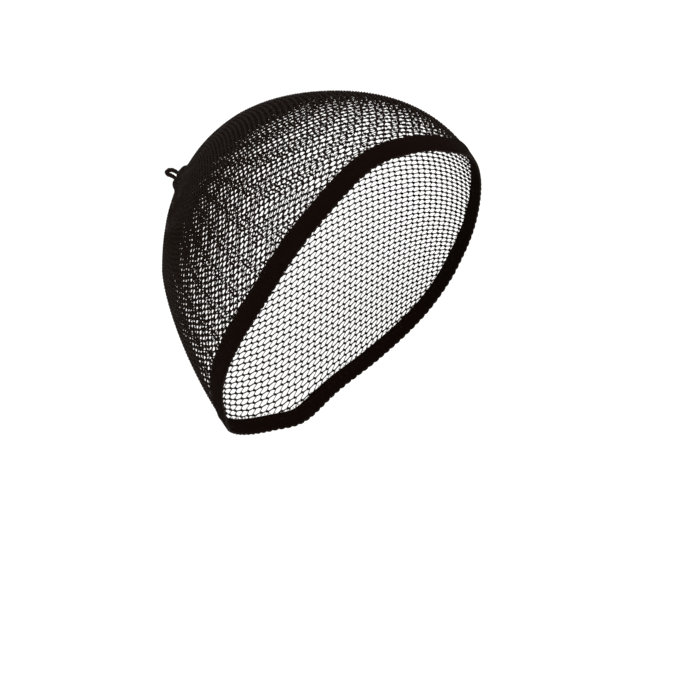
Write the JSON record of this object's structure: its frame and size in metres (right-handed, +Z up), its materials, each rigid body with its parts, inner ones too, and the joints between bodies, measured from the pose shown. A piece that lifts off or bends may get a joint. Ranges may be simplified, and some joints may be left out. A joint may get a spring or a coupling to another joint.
{
  "type": "wig cap",
  "caption": "Hollow stretch-net wig cap in its worn form, gathered into a knot with a tie loop at the back, with an elastic band round the face and nape.",
  "frame": {"origin": "inside of the crown's highest point, on the midline, where the top of the head bears", "axes": "+Z up along the head, the wearer faces -Y, and +X is the wearer's left"},
  "size_m": [0.148, 0.1671, 0.1741],
  "materials": {
    "net_yarn": "matte knitted nylon net, near black",
    "elastic": "matte knitted elastic with a picot edge, near black",
    "tie_cord": "twisted nylon cord, near black"
  },
  "bodies": {
    "root": {"crown_net": "net_yarn", "edge_band": "elastic", "gather_knot": "net_yarn", "tie_loop": "tie_cord"}
  },
  "joints": []
}
